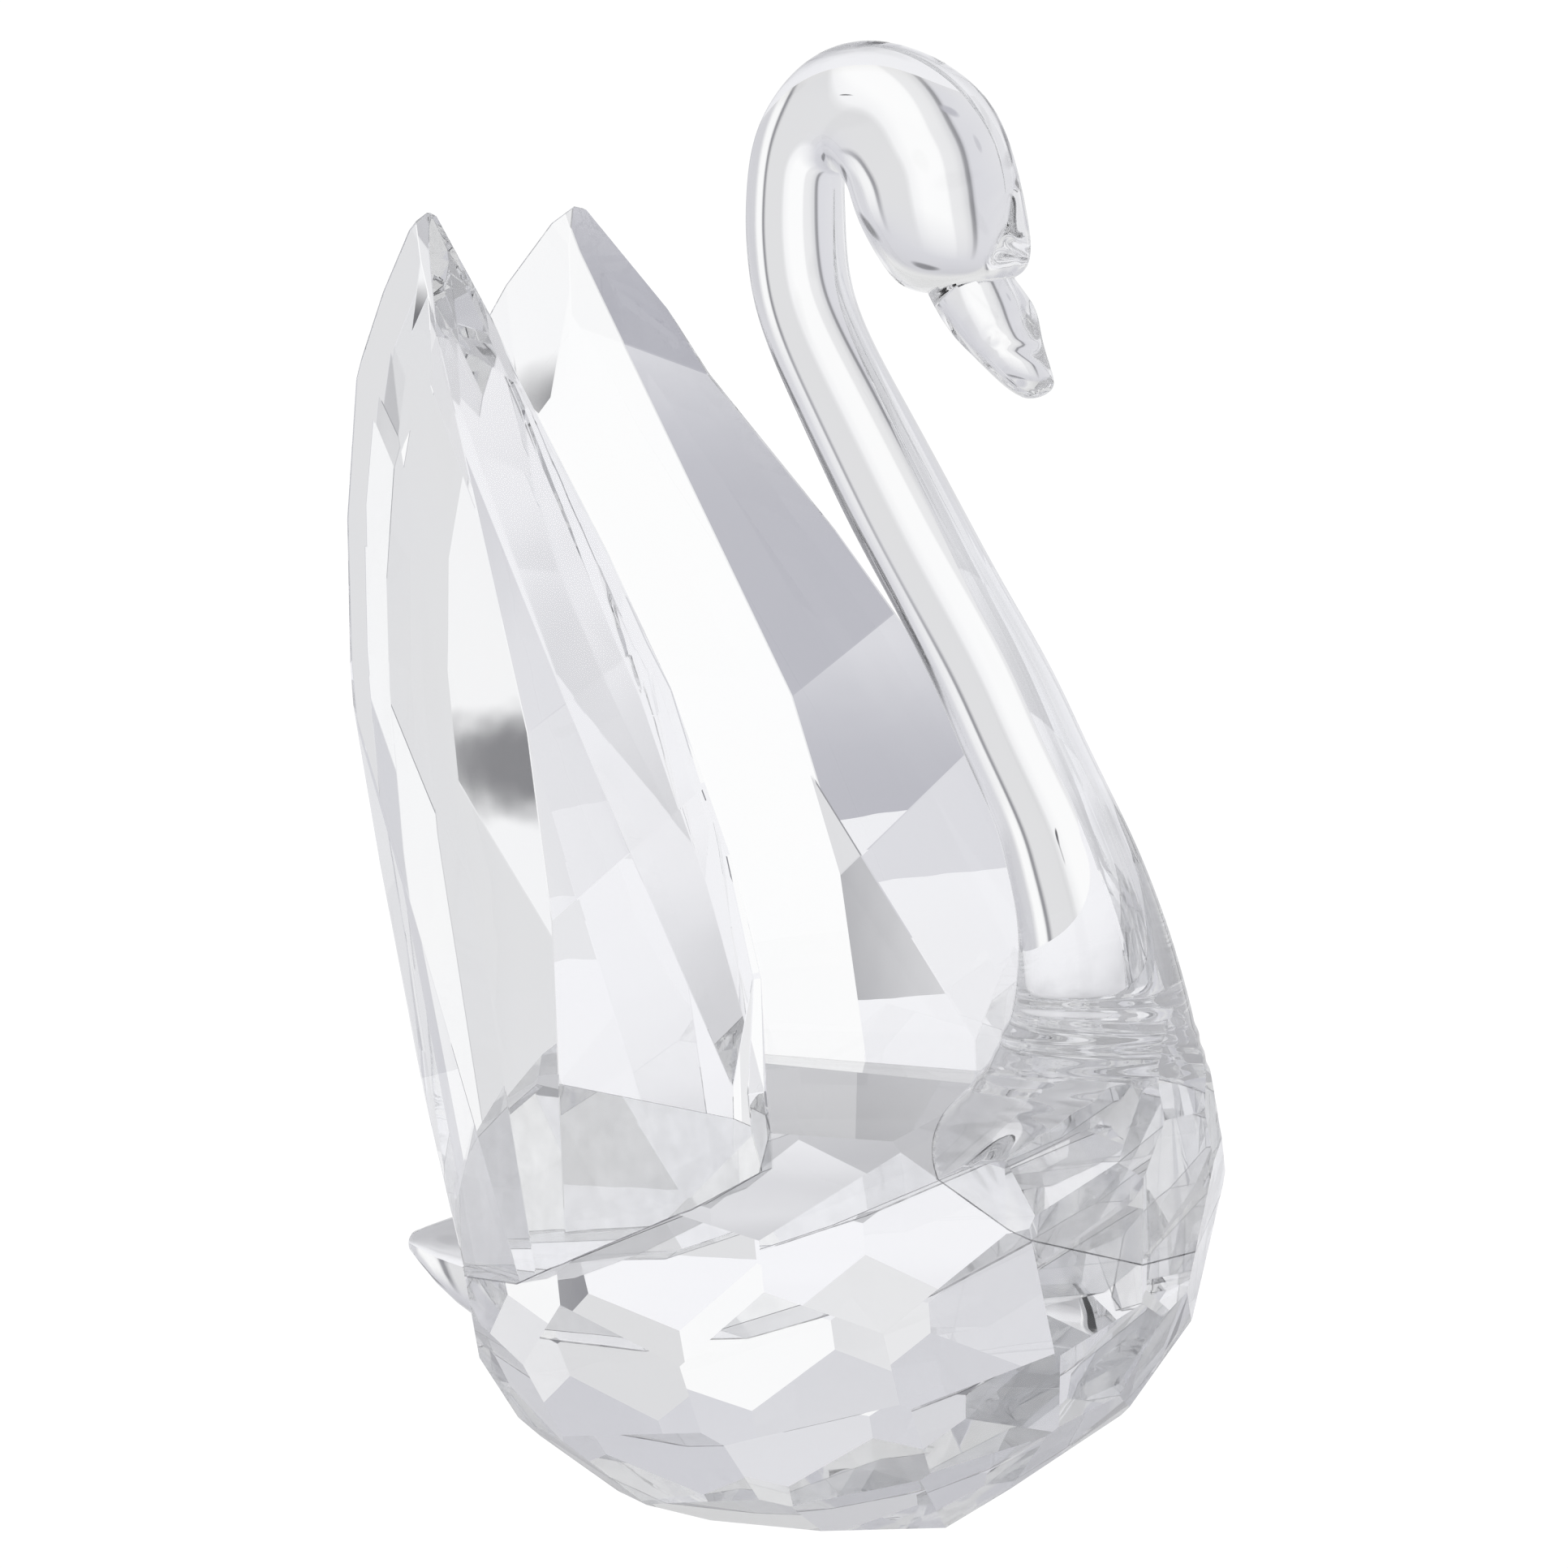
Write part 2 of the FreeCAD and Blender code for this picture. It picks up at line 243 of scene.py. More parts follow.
@dataclass(frozen=True)
class PaleSheet:
    """Pale table sheet whose glow is painted light: plain white to the camera, and to the glass a dimmer
    glow with a painted shadow under the swan.
    """

    name: str = "pale_sheet"
    colour: Colour = (0.25, 0.25, 0.27, 1.0)
    tone: Colour = (0.86, 0.86, 0.87, 1.0)
    glow: float = 0.80                  # painted glow out on the table, standing in for lamp light on the floor
    painted_shadow_glow: float = 0.38              # painted shadow glow under the swan
    painted_shadow_radius: tuple[float, float] = (0.035, 0.115)
    painted_shadow_wander: float = 0.05            # metres by which the grain shifts the painted shadow's edge
    grain_scale: float = 40.0
    roughness: float = 0.5
    roughness_grain: float = 0.1

    def material(self) -> bpy.types.Material:
        """Make the material.

        Returns:
            A sheet whose glow is painted light, dimmed under the swan as a painted shadow.
        """
        made, nodes, place = started(self.name)
        grain = nodes.noise(place, self.grain_scale)
        reach = nodes.add("ShaderNodeVectorMath", {"operation": "LENGTH"}, {0: place}, out="Value")
        # Painted shadow: the glow drops from the open table to a dimmer glow under the swan, its edge
        # shifted by the grain.
        glow_with_painted_shadow = nodes.eased(reach + (grain - 0.5) * self.painted_shadow_wander, self.painted_shadow_radius,
                             (self.painted_shadow_glow, self.glow))
        # The emission is painted light: the sheet glows in place of being lit by the lamps.
        sheet = nodes.add("ShaderNodeBsdfPrincipled", sockets={
            "Base Color": self.colour, "Roughness": grain * self.roughness_grain + self.roughness,
            "Emission Color": nodes.blend(glow_with_painted_shadow, BLACK, self.tone), "Emission Strength": 1.0})
        lit = nodes.add("ShaderNodeEmission", sockets={"Color": WHITE, "Strength": PLAIN_WHITE})
        seen = nodes.add("ShaderNodeLightPath", out="Is Camera Ray")
        both = nodes.add("ShaderNodeMixShader", sockets={0: seen, 1: sheet, 2: lit})
        nodes.add("ShaderNodeOutputMaterial", sockets={"Surface": both})
        return made


# ------------------------------------------------------------------ shaping helpers
def direction(bearing: float, elevation: float) -> Vector:
    """Unit vector; bearing runs from straight ahead towards the left side, in degrees."""
    b, e = math.radians(bearing), math.radians(elevation)
    return Vector((math.sin(b) * math.cos(e), -math.cos(b) * math.cos(e), math.sin(e)))


def in_order(parts: Iterable[Any]) -> list[Any]:
    """Each part once, in the order met, so that every run gives the same mesh."""
    return list(dict.fromkeys(parts))


def grind(bm: bmesh.types.BMesh, planes: Iterable[Plane], below: float = math.inf) -> None:
    """Grind flat facets on a closed mesh.

    Args:
        bm: the mesh, in mm.
        planes: (point, outward normal) of each facet.
        below: the wheel reaches no higher than this.
    """
    for point, normal in planes:
        faces = [face for face in bm.faces if all(vert.co.z < below for vert in face.verts)]
        edges = in_order(edge for face in faces for edge in face.edges)
        verts = in_order(vert for face in faces for vert in face.verts)
        cut = bmesh.ops.bisect_plane(
            bm, geom=verts + edges + faces, dist=MERGE,
            plane_co=point, plane_no=normal, clear_outer=True)
        rim = [part for part in cut["geom_cut"] if isinstance(part, bmesh.types.BMEdge)]
        rim = [edge for edge in rim if edge.is_boundary]
        if rim:
            bmesh.ops.edgeloop_fill(bm, edges=rim)


def mirrored(bm: bmesh.types.BMesh) -> None:
    """Turn a left piece into the right one."""
    bmesh.ops.scale(bm, vec=(-1.0, 1.0, 1.0), verts=bm.verts)
    bmesh.ops.reverse_faces(bm, faces=bm.faces)


def finished(name: str, bm: bmesh.types.BMesh, *finishes: bpy.types.Material,
             soften: float = 0.0) -> bpy.types.Object:
    """Close a mesh drawn in mm round the drawing line into an object of the scene.

    Args:
        name: piece name.
        bm: the mesh; it is freed.
        finishes: its materials.
        soften: width in mm of the tiny bevel on facet edges.

    Returns:
        The object.
    """
    bmesh.ops.dissolve_degenerate(bm, dist=MERGE, edges=bm.edges)
    bmesh.ops.recalc_face_normals(bm, faces=bm.faces)
    if soften:
        bmesh.ops.dissolve_limit(bm, angle_limit=ONE_FACET, verts=bm.verts, edges=bm.edges)
        sharp = [edge for edge in bm.edges if edge.is_manifold and edge.calc_face_angle(0.0) > FACET_TURN]
        bmesh.ops.bevel(bm, geom=sharp, offset=soften, offset_type="OFFSET", segments=1, profile=0.5,
                        affect="EDGES", material=-1, clamp_overlap=True)
    bmesh.ops.translate(bm, vec=(0.0, -STAND_BACK, 0.0), verts=bm.verts)
    bmesh.ops.scale(bm, vec=(MM, MM, MM), verts=bm.verts)
    mesh = bpy.data.meshes.new(name)
    bm.to_mesh(mesh)
    bm.free()
    for finish in finishes:
        mesh.materials.append(finish)
    made = bpy.data.objects.new(name, mesh)
    bpy.context.scene.collection.objects.link(made)
    LOG.info("%s: %d faces", name, len(mesh.polygons))
    return made


def rimmed(bm: bmesh.types.BMesh, is_rim: Callable[[bmesh.types.BMFace], bool]) -> bmesh.types.BMesh:
    """Give the faces at a film's edge the second finish.

    Args:
        bm: the film.
        is_rim: tells whether a face lies at the edge.

    Returns:
        The same film.
    """
    for face in bm.faces:
        face.material_index = 1 if is_rim(face) else 0
    return bm


def placed(made: bpy.types.Object, slot: str, *nodes: str) -> bpy.types.Object:
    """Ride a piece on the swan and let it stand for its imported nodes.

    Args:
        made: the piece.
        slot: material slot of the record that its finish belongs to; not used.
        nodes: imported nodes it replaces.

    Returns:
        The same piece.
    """
    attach(made, BODY_NAME)
    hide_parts(*nodes)
    return made


def cut_with(base: bmesh.types.BMesh, tools: Sequence[tuple[bmesh.types.BMesh, str]]) -> bmesh.types.BMesh:
    """Boolean a closed mesh with others, exactly.

    Args:
        base: the mesh to cut; it is freed.
        tools: (mesh, DIFFERENCE, INTERSECT or UNION); each mesh is freed.

    Returns:
        The new mesh.
    """
    def held(bm: bmesh.types.BMesh) -> bpy.types.Object:
        """Put a mesh in a scene object for a moment.

        Args:
            bm: the mesh; it is freed.

        Returns:
            The object.
        """
        mesh = bpy.data.meshes.new("blank")
        bm.to_mesh(mesh)
        bm.free()
        blank = bpy.data.objects.new("blank", mesh)
        bpy.context.scene.collection.objects.link(blank)
        return blank

    work = held(base)
    blanks = [work]
    for bm, operation in tools:
        blanks.append(held(bm))
        step = work.modifiers.new("cut", "BOOLEAN")
        step.operation, step.solver, step.object = operation, "EXACT", blanks[-1]
    result = bmesh.new()
    result.from_object(work, bpy.context.evaluated_depsgraph_get())
    for blank in blanks:
        mesh = blank.data
        bpy.data.objects.remove(blank)
        bpy.data.meshes.remove(mesh)
    return result


def seat_film(bm: bmesh.types.BMesh, seat: Callable[[float], Plane], node: str,
              adhesive: Sequence[bpy.types.Material]) -> bpy.types.Object:
    """Grind a piece down to the glue film on its seat.

    Args:
        bm: the piece before its foot is ground.
        seat: gives the plane of the seat, sunk by the mm asked for.
        node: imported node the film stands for.
        adhesive: finishes of the film and of its rim.

    Returns:
        The film.
    """
    (top, normal), (bottom, _) = seat(-FILM / 2), seat(FILM / 2)
    grind(bm, [(top, normal), (bottom, -normal)])
    rimmed(bm, lambda face: abs(face.normal.dot(normal)) < EDGE_ON)
    return placed(finished(node + "_film", bm, *adhesive), "adhesive", node)


# ------------------------------------------------------------------ the body
@dataclass
class Egg:
    """Egg-shaped block the body and the breast are ground from; sizes in mm and degrees."""

    middle: tuple[float, float] = (1.2, 19.6)
    pitch: float = 13.0
    half_width: float = 20.1
    half_length: float = 27.8
    depth_below: float = 20.2
    rise_above: float = 15.0
    crown_height: float = 30.6
    crown_slope: float = 6.0
    row_wobble: float = 3.0         # facets of a row lean this much more and less
    row_lobes: int = 3
    level_row: tuple[float, int, float] = (-1.0, 14, 180.0 / 14)
    lower_rows: tuple[tuple[float, int, float], ...] = (
        (-23.0, 14, 0.0), (-45.0, 12, 15.0), (-66.0, 10, 0.0))
    flank_rows: tuple[tuple[float, int, float], ...] = ((27.0, 14, 0.0), (54.0, 12, 15.0))
    breast_facets: tuple[tuple[float, float, float], ...] = (
        (0.0, 6.0, 29.4), (35.0, 10.5, 27.1), (68.0, 14.0, 23.0), (17.0, 2.0, 28.3), (52.0, 2.0, 24.4))
    breast_bearing: float = 60.0
    flank_bearing: float = 75.0
    neck_seat_slope: float = 37.0
    neck_seat_front: tuple[float, float] = (-26.5, 19.9)
    tail_seat_at: tuple[float, float] = (27.3, 14.2)
    tail_seat_slope: float = -13.0
    block_size: float = 90.0

    def centre(self) -> Vector:
        """Middle of the egg."""
        return Vector((0.0, *self.middle))

    def facet(self, bearing: float, elevation: float, rise: float) -> Plane:
        """Facet plane touching the pitched egg.

        Args:
            bearing: bearing of its normal before the egg is pitched.
            elevation: elevation of that normal.
            rise: half height of the egg on this side of its widest level.

        Returns:
            The plane.
        """
        n = direction(bearing, elevation)
        reach = math.hypot(self.half_width * n.x, self.half_length * n.y, rise * n.z)
        normal = Matrix.Rotation(math.radians(-self.pitch), 3, "X") @ n
        return self.centre() + normal * reach, normal

    @staticmethod
    def bearings(count: int, first: float) -> list[float]:
        """Bearings of a row's facets, between -180 and 180."""
        return [(first + step * 360.0 / count + 180.0) % 360.0 - 180.0 for step in range(count)]

    def leaning(self, row: tuple[float, int, float], clear: float = -1.0) -> list[Plane]:
        """Facets of a row that lean alternately more and less.

        Args:
            row: elevation, count and first bearing.
            clear: no facet nearer to straight ahead than this.

        Returns:
            The planes.
        """
        elevation, count, first = row
        planes = []
        for bearing in self.bearings(count, first):
            if abs(bearing) > clear:
                lean = self.row_wobble * math.cos(math.radians(self.row_lobes * bearing))
                planes.append(self.facet(bearing, elevation + lean, self.depth_below))
        return planes

    def level(self) -> list[Plane]:
        """Row at the widest level, the breast left free."""
        return self.leaning(self.level_row, self.breast_bearing)

    def lower(self) -> list[Plane]:
        """Rows below the widest level."""
        return [plane for row in self.lower_rows for plane in self.leaning(row)]

    def breast(self) -> list[Plane]:
        """Breast facets of both sides.

        Returns:
            The planes; the one straight ahead comes once.
        """
        planes = []
        for bearing, elevation, reach in self.breast_facets:
            for side in ((1,) if bearing == 0 else (1, -1)):
                normal = direction(side * bearing, elevation)
                planes.append((self.centre() + normal * reach, normal))
        return planes

    def flank(self) -> list[Plane]:
        """Upper flanks, rear and crown.

        Returns:
            The planes, clear of the breast.
        """
        planes = [self.facet(b, elevation, self.rise_above)
                  for elevation, count, first in self.flank_rows
                  for b in self.bearings(count, first) if abs(b) > self.flank_bearing]
        crown = [direction(side * 90.0, 90.0 - self.crown_slope) for side in (1, -1)]
        return planes + [(Vector((0.0, 0.0, self.crown_height)), normal) for normal in crown]

    def neck_seat(self, sink: float) -> Plane:
        """Plane the neck piece stands on, lowered by sink."""
        normal = direction(0.0, 90.0 - self.neck_seat_slope)
        return Vector((0.0, *self.neck_seat_front)) - normal * sink, normal

    def tail_seat(self, sink: float) -> Plane:
        """Flat that carries the tail, sunk."""
        normal = direction(180.0, self.tail_seat_slope)
        return Vector((0.0, *self.tail_seat_at)) - normal * sink, normal

    def facets(self) -> list[Plane]:
        """Every facet of the body."""
        return self.lower() + self.level() + self.breast() + self.flank()

    def proud(self, place: Vector) -> float:
        """How far a place stands outside the ground egg."""
        return max((place - point).dot(normal) for point, normal in self.facets())

    def block(self, proud: float = 0.0) -> bmesh.types.BMesh:
        """The ground egg without seats, standing on the table plane.

        Args:
            proud: growth in mm.

        Returns:
            A closed mesh.
        """
        bm = bmesh.new()
        bmesh.ops.create_cube(bm, size=self.block_size)
        bmesh.ops.translate(bm, vec=(0.0, 0.0, self.block_size / 2), verts=bm.verts)
        grind(bm, [(point + normal * proud, normal) for point, normal in self.facets()])
        return bm


# ------------------------------------------------------------------ wings
class Side(Enum):
    """Side of the swan."""

    LEFT = "left"
    RIGHT = "right"


@dataclass
class Wing:
    """Upright leaf-shaped wing; sizes in mm in the plane of the left wing."""

    side: Side
    egg: Egg
    origin: tuple[float, float, float] = (16.0, 0.0, 60.0)
    toe_in: float = 0.287
    lean: float = 0.03
    table: float = -1.8
    girdle: float = 0.3
    blank_top: float = 9.0
    pocket_top: float = 32.0        # the tool that cuts its seat reaches through the flank
    flush_side: float = 0.85        # body facets that face more sideways run on over the foot
    front: tuple[tuple[float, float], ...] = (
        (-28.0, 28.2), (-25.6, 25.6), (-19.8, 17.0), (-10.4, 6.3), (-3.7, -2.4), (1.8, -13.0),
        (4.5, -21.0), (4.8, -28.5))
    foot: tuple[tuple[float, float], ...] = (
        (5.9, -33.6), (2.4, -36.1), (-7.6, -40.6), (-13.9, -42.9), (-23.1, -43.7))
    rear: tuple[tuple[float, float], ...] = (
        (-28.6, -44.5), (-33.6, -33.0), (-37.7, -16.8), (-39.9, -3.0), (-40.2, 7.0), (-38.6, 16.8),
        (-35.0, 23.0), (-31.6, 27.4), (-29.9, 28.6))
    front_bevels: tuple[float, ...] = (9.0, 8.5, 7.0, 5.5, 3.4, 4.0, 4.0)
    rear_bevels: tuple[float, ...] = (4.5, 4.5, 4.8, 5.5, 7.0, 8.0, 8.0)
    outer: tuple[tuple[float, float, float, float, float], ...] = (
        (-40.0, 0.0, 0.3, 0.20, 98.0), (-36.6, 19.5, 0.3, 0.17, 122.0), (-38.9, -10.0, 0.3, 0.43, 73.4),
        (-15.0, 0.0, 3.7, 0.102, 139.0), (-24.5, 12.0, 3.15, 0.12, 168.0), (-15.5, 11.5, 0.3, 0.36, 228.0),
        (-3.8, -2.5, 0.3, 0.36, 238.0), (3.2, -17.0, 0.3, 0.38, 249.0), (6.2, -31.5, 1.0, 0.52, 272.0))

    def __post_init__(self) -> None:
        """Work out the axes of the wing's plane."""
        self.out = Vector((1.0, self.toe_in, -self.lean)).normalized()
        self.forward = Vector((self.toe_in, -1.0, 0.0)).normalized()
        self.up = -self.out.cross(self.forward)

    def point(self, forward: float, up: float, out: float) -> Vector:
        """A point given in the plane of the wing."""
        return Vector(self.origin) + self.forward * forward + self.up * up + self.out * out

    def grown(self, gap: float) -> Outline:
        """The outline moved outwards, corners mitred.

        Args:
            gap: growth in mm.

        Returns:
            The corners, forward and up.
        """
        outline = list(self.front + self.foot + self.rear)
        moved = []
        for index, (f, u) in enumerate(outline):
            before, after = outline[index - 1], outline[(index + 1) % len(outline)]
            a = math.atan2(f - before[0], before[1] - u)
            b = math.atan2(after[0] - f, u - after[1])
            reach = gap / (2 * math.cos((a - b) / 2) ** 2)
            moved.append((f + (math.cos(a) + math.cos(b)) * reach, u + (math.sin(a) + math.sin(b)) * reach))
        return moved

    def blank(self, gap: float, top: float) -> bmesh.types.BMesh:
        """The wing with only its inner face ground, grown by a gap all round.

        Args:
            gap: growth in mm.
            top: level of the outer face in mm.

        Returns:
            A closed mesh.
        """
        outline = self.grown(gap)
        bm = bmesh.new()
        corners = [bm.verts.new(self.point(f, u, self.table - gap)) for f, u in outline]
        leaf = bm.faces.new(corners)
        raised = bmesh.ops.extrude_face_region(bm, geom=[leaf])
        lifted = [part for part in raised["geom"] if isinstance(part, bmesh.types.BMVert)]
        bmesh.ops.translate(bm, vec=self.out * (top - self.table + gap), verts=lifted)
        bmesh.ops.recalc_face_normals(bm, faces=bm.faces)
        drop = -self.table - self.girdle
        runs = ((outline[:len(self.front)], self.front_bevels),
                (outline[-len(self.rear) + 1:], self.rear_bevels))
        for edge, widths in runs:
            for (f0, u0), (f1, u1), width in zip(edge, edge[1:], widths):
                along = (self.point(f1, u1, 0.0) - self.point(f0, u0, 0.0)).normalized()
                inward = self.out.cross(along)
                normal = (-self.out - inward * (drop / width)).normalized()
                grind(bm, [(self.point(f0, u0, -self.girdle - gap), normal)])
        return bm

    def outer_facets(self) -> list[Plane]:
        """Long facets of the outer face.

        Returns:
            The planes.
        """
        planes = []
        for f, u, level, slope, bearing in self.outer:
            b = math.radians(bearing)
            inward = self.forward * math.sin(b) + self.up * math.cos(b)
            planes.append((self.point(f, u, level), (self.out - inward * slope).normalized()))
        return planes

    def build(self, crystal: bpy.types.Material) -> bpy.types.Object:
        """Make the wing piece.

        Args:
            crystal: its finish.

        Returns:
            The piece.
        """
        bm = self.blank(0.0, self.blank_top)
        flush = [plane for plane in self.egg.level() if plane[1].x > self.flush_side]
        grind(bm, self.outer_facets() + flush)
        if self.side is Side.RIGHT:
            mirrored(bm)
        name = "wing_" + self.side.value
        return placed(finished(name + "_glass", bm, crystal, soften=SOFTEN), "crystal", name)

    def bond(self, adhesive: Sequence[bpy.types.Material]) -> bpy.types.Object:
        """Make the glue film round the foot.

        Args:
            adhesive: finishes of the film and of its rim.

        Returns:
            The film.
        """
        bm = cut_with(self.egg.block(BONDED), [
            (self.blank(FILM / 2, self.pocket_top), "INTERSECT"),
            (self.blank(-FILM / 2, self.pocket_top), "DIFFERENCE")])
        rimmed(bm, lambda face: self.egg.proud(face.calc_center_median()) > BONDED / 2)
        if self.side is Side.RIGHT:
            mirrored(bm)
        node = "wing_bond_" + self.side.value
        return placed(finished(node + "_film", bm, *adhesive), "adhesive", node)


@dataclass
class Body:
    """Faceted body with its seats."""

    egg: Egg
    wings: tuple[Wing, Wing]

    def build(self, crystal: bpy.types.Material) -> bpy.types.Object:
        """Make the body piece.

        Args:
            crystal: its finish.

        Returns:
            The piece.
        """
        bm = self.egg.block()
        grind(bm, [self.egg.neck_seat(-BONDED), self.egg.tail_seat(-BONDED)])
        pockets = []
        for wing in self.wings:
            pocket = wing.blank(-BONDED, wing.pocket_top)
            if wing.side is Side.RIGHT:
                mirrored(pocket)
            pockets.append((pocket, "DIFFERENCE"))
        bm = cut_with(bm, pockets)
        return placed(finished("body_glass", bm, crystal, soften=SOFTEN), "crystal", "body")


# ------------------------------------------------------------------ neck, head and tail
@dataclass
class Neck:
    """Breast, drawn neck, head and bill in one piece.

    Sections are Y, Z, tilt, half depth and half width; a line is lobes and drift in turns.
    """

    egg: Egg
    sections: tuple[tuple[float, ...], ...] = (
        (-15.5, 18.0, 0, 17.0, 23.0), (-17.2, 24.0, 0, 13.0, 17.5), (-18.6, 28.0, 0, 9.8, 13.4),
        (-19.8, 30.8, 0, 7.9, 9.9), (-20.5, 33.2, 0, 6.9, 7.5), (-20.7, 36.7, 0, 5.9, 6.0),
        (-20.1, 41.5, -3, 5.0, 5.0), (-18.4, 46.2, -7, 4.5, 4.5), (-17.0, 49.3, -7, 4.2, 4.2),
        (-14.3, 53.9, -8, 4.1, 4.1), (-11.8, 58.4, -9, 4.0, 4.0), (-8.2, 63.7, -12, 3.8, 3.8),
        (-5.0, 68.5, -13, 3.8, 3.8), (-2.0, 73.3, -11, 3.7, 3.7), (0.1, 76.7, -9, 3.6, 3.6),
        (2.1, 80.1, -7, 3.5, 3.5), (3.5, 83.4, -6, 3.4, 3.4), (4.0, 86.6, -3, 3.4, 3.4),
        (4.1, 89.2, 0, 3.4, 3.4), (3.9, 92.1, 22, 3.4, 3.4), (2.9, 94.1, 49, 3.6, 3.6),
        (1.2, 95.5, 74, 4.1, 3.9), (-0.9, 96.0, 96, 4.6, 4.3), (-3.1, 95.4, 117, 5.1, 4.7),
        (-5.1, 94.2, 132, 5.5, 5.1), (-6.4, 92.6, 143, 5.8, 5.4), (-7.4, 90.5, 151, 5.7, 5.4),
        (-8.4, 88.2, 157, 5.4, 5.0), (-9.3, 86.3, 160, 5.0, 4.4), (-10.1, 85.0, 164, 4.3, 3.6),
        (-10.9, 84.1, 168, 2.9, 2.3))
    bill: tuple[tuple[float, ...], ...] = (
        (-8.6, 86.4, 152, 2.6, 2.9), (-10.3, 83.9, 156, 2.8, 2.8), (-11.9, 82.0, 160, 3.1, 2.5),
        (-13.0, 80.4, 158, 2.4, 2.3), (-14.2, 78.8, 154, 1.75, 2.1), (-15.2, 77.7, 150, 1.25, 1.7),
        (-15.8, 77.1, 148, 0.7, 1.0))
    breast_top: float = 45.0
    bead_span: tuple[float, float] = (30.0, 35.6)
    beads: int = 4
    bead_height: float = 0.16
    line_span: tuple[float, float] = (37.0, 95.0)
    line_height: float = 0.10
    lines: tuple[tuple[int, float], ...] = ((5, 0.6), (9, -0.9), (14, 1.3))
    nostril: tuple[float, float, float] = (2.0, -13.4, 80.9)
    nostril_size: float = 0.75
    nostril_depth: float = 0.16
    nostril_fade: float = 1.5       # in nostril sizes
    mouth: tuple[tuple[float, float, float], ...] = ((2.5, -10.6, 80.9), (1.9, -14.9, 77.4))
    mouth_width: float = 0.38
    mouth_depth: float = 0.14
    sides: int = 16
    rounds: int = 3

    @staticmethod
    def held(sections: Sequence[Sequence[float]], sides: int) -> list[tuple[float, ...]]:
        """Push sections out so that rounding brings the skin back onto them.

        Rounding leaves a corner at a sixth of before + 4 this + after.

        Args:
            sections: the sections the skin should pass through.
            sides: corners of a ring.

        Returns:
            The sections to bridge.
        """
        rounding = 6.0 / (4.0 + 2.0 * math.cos(math.tau / sides))
        pushed = [tuple(sections[0])]
        for before, this, after in zip(sections, sections[1:], sections[2:]):
            pushed.append(tuple(b - (a - 2 * b + c) / 6.0 for a, b, c in zip(before, this, after)))
        pushed.append(tuple(sections[-1]))
        return [(y, z, tilt, depth * rounding, width * rounding) for y, z, tilt, depth, width in pushed]

    def beaded(self) -> list[tuple[float, ...]]:
        """The sections with small beads drawn into the foot of the neck.

        Returns:
            The sections, from the breast to the head.
        """
        low, high = self.bead_span
        count = 2 * self.beads
        rings = []
        for step in range(count + 1):
            z = low + (high - low) * step / count
            before, after = next(pair for pair in zip(self.sections, self.sections[1:]) if pair[1][1] > z)
            share = (z - before[1]) / (after[1] - before[1])
            ring = [b + (a - b) * share for b, a in zip(before, after)]
            swell = self.bead_height / 2 * (1 if step % 2 else -1)
            rings.append((ring[0], z, ring[2], ring[3] + swell, ring[4] + swell))
        return ([ring for ring in self.sections if ring[1] < low] + rings
                + [ring for ring in self.sections if ring[1] > high])

    def tube(self, sections: Sequence[Sequence[float]]) -> bmesh.types.BMesh:
        """A closed smooth skin through oval sections.

        Args:
            sections: the sections, from one end to the other.

        Returns:
            A closed mesh.
        """
        bm = bmesh.new()
        loops: list[list[bmesh.types.BMEdge]] = []
        for y, z, tilt, half_depth, half_width in self.held(sections, self.sides):
            made = bmesh.ops.create_circle(bm, segments=self.sides, radius=1.0)
            verts = made["verts"]
            turn = Matrix.Rotation(math.radians(tilt), 4, "X")
            bmesh.ops.scale(bm, vec=(half_width, half_depth, 1.0), verts=verts)
            bmesh.ops.transform(bm, matrix=Matrix.Translation((0.0, y, z)) @ turn, verts=verts)
            loops.append(in_order(edge for vert in verts for edge in vert.link_edges))
        for lower, upper in zip(loops, loops[1:]):
            bmesh.ops.bridge_loops(bm, edges=lower + upper)
        for rim in (loops[0], loops[-1]):
            bmesh.ops.edgeloop_fill(bm, edges=rim)
        bmesh.ops.recalc_face_normals(bm, faces=bm.faces)
        return self.rounded(bm)

    def rounded(self, bm: bmesh.types.BMesh) -> bmesh.types.BMesh:
        """The same skin after rounds of subdivision.

        Args:
            bm: the skin; it is freed.

        Returns:
            A new mesh, shaded smooth.
        """
        mesh = bpy.data.meshes.new("skin")
        bm.to_mesh(mesh)
        bm.free()
        skin = bpy.data.objects.new("skin", mesh)
        bpy.context.scene.collection.objects.link(skin)
        rounder = skin.modifiers.new("rounder", "SUBSURF")
        rounder.levels = rounder.render_levels = self.rounds
        result = bmesh.new()
        result.from_object(skin, bpy.context.evaluated_depsgraph_get())
        bpy.data.objects.remove(skin)
        bpy.data.meshes.remove(mesh)
        for face in result.faces:
            face.smooth = True
        return result

    def engrave(self, bm: bmesh.types.BMesh) -> None:
        """Press the nostril rings and the mouth lines into the bill.

        Args:
            bm: the bill.
        """
        for side in (1, -1):
            ring = Vector((self.nostril[0] * side, *self.nostril[1:]))
            start, end = (Vector((x * side, y, z)) for x, y, z in self.mouth)
            along = end - start
            for vert in bm.verts:
                off = (vert.co - ring).length / self.nostril_size
                if off < self.nostril_fade:
                    swell = math.cos(math.pi * off) * (1.0 - off / self.nostril_fade)
                    vert.co += vert.normal * self.nostril_depth * swell
                share = min(1.0, max(0.0, (vert.co - start).dot(along) / along.length_squared))
                away = (vert.co - start - along * share).length / self.mouth_width
                if away < 1.0:
                    vert.co -= vert.normal * self.mouth_depth * (1.0 - away * away)

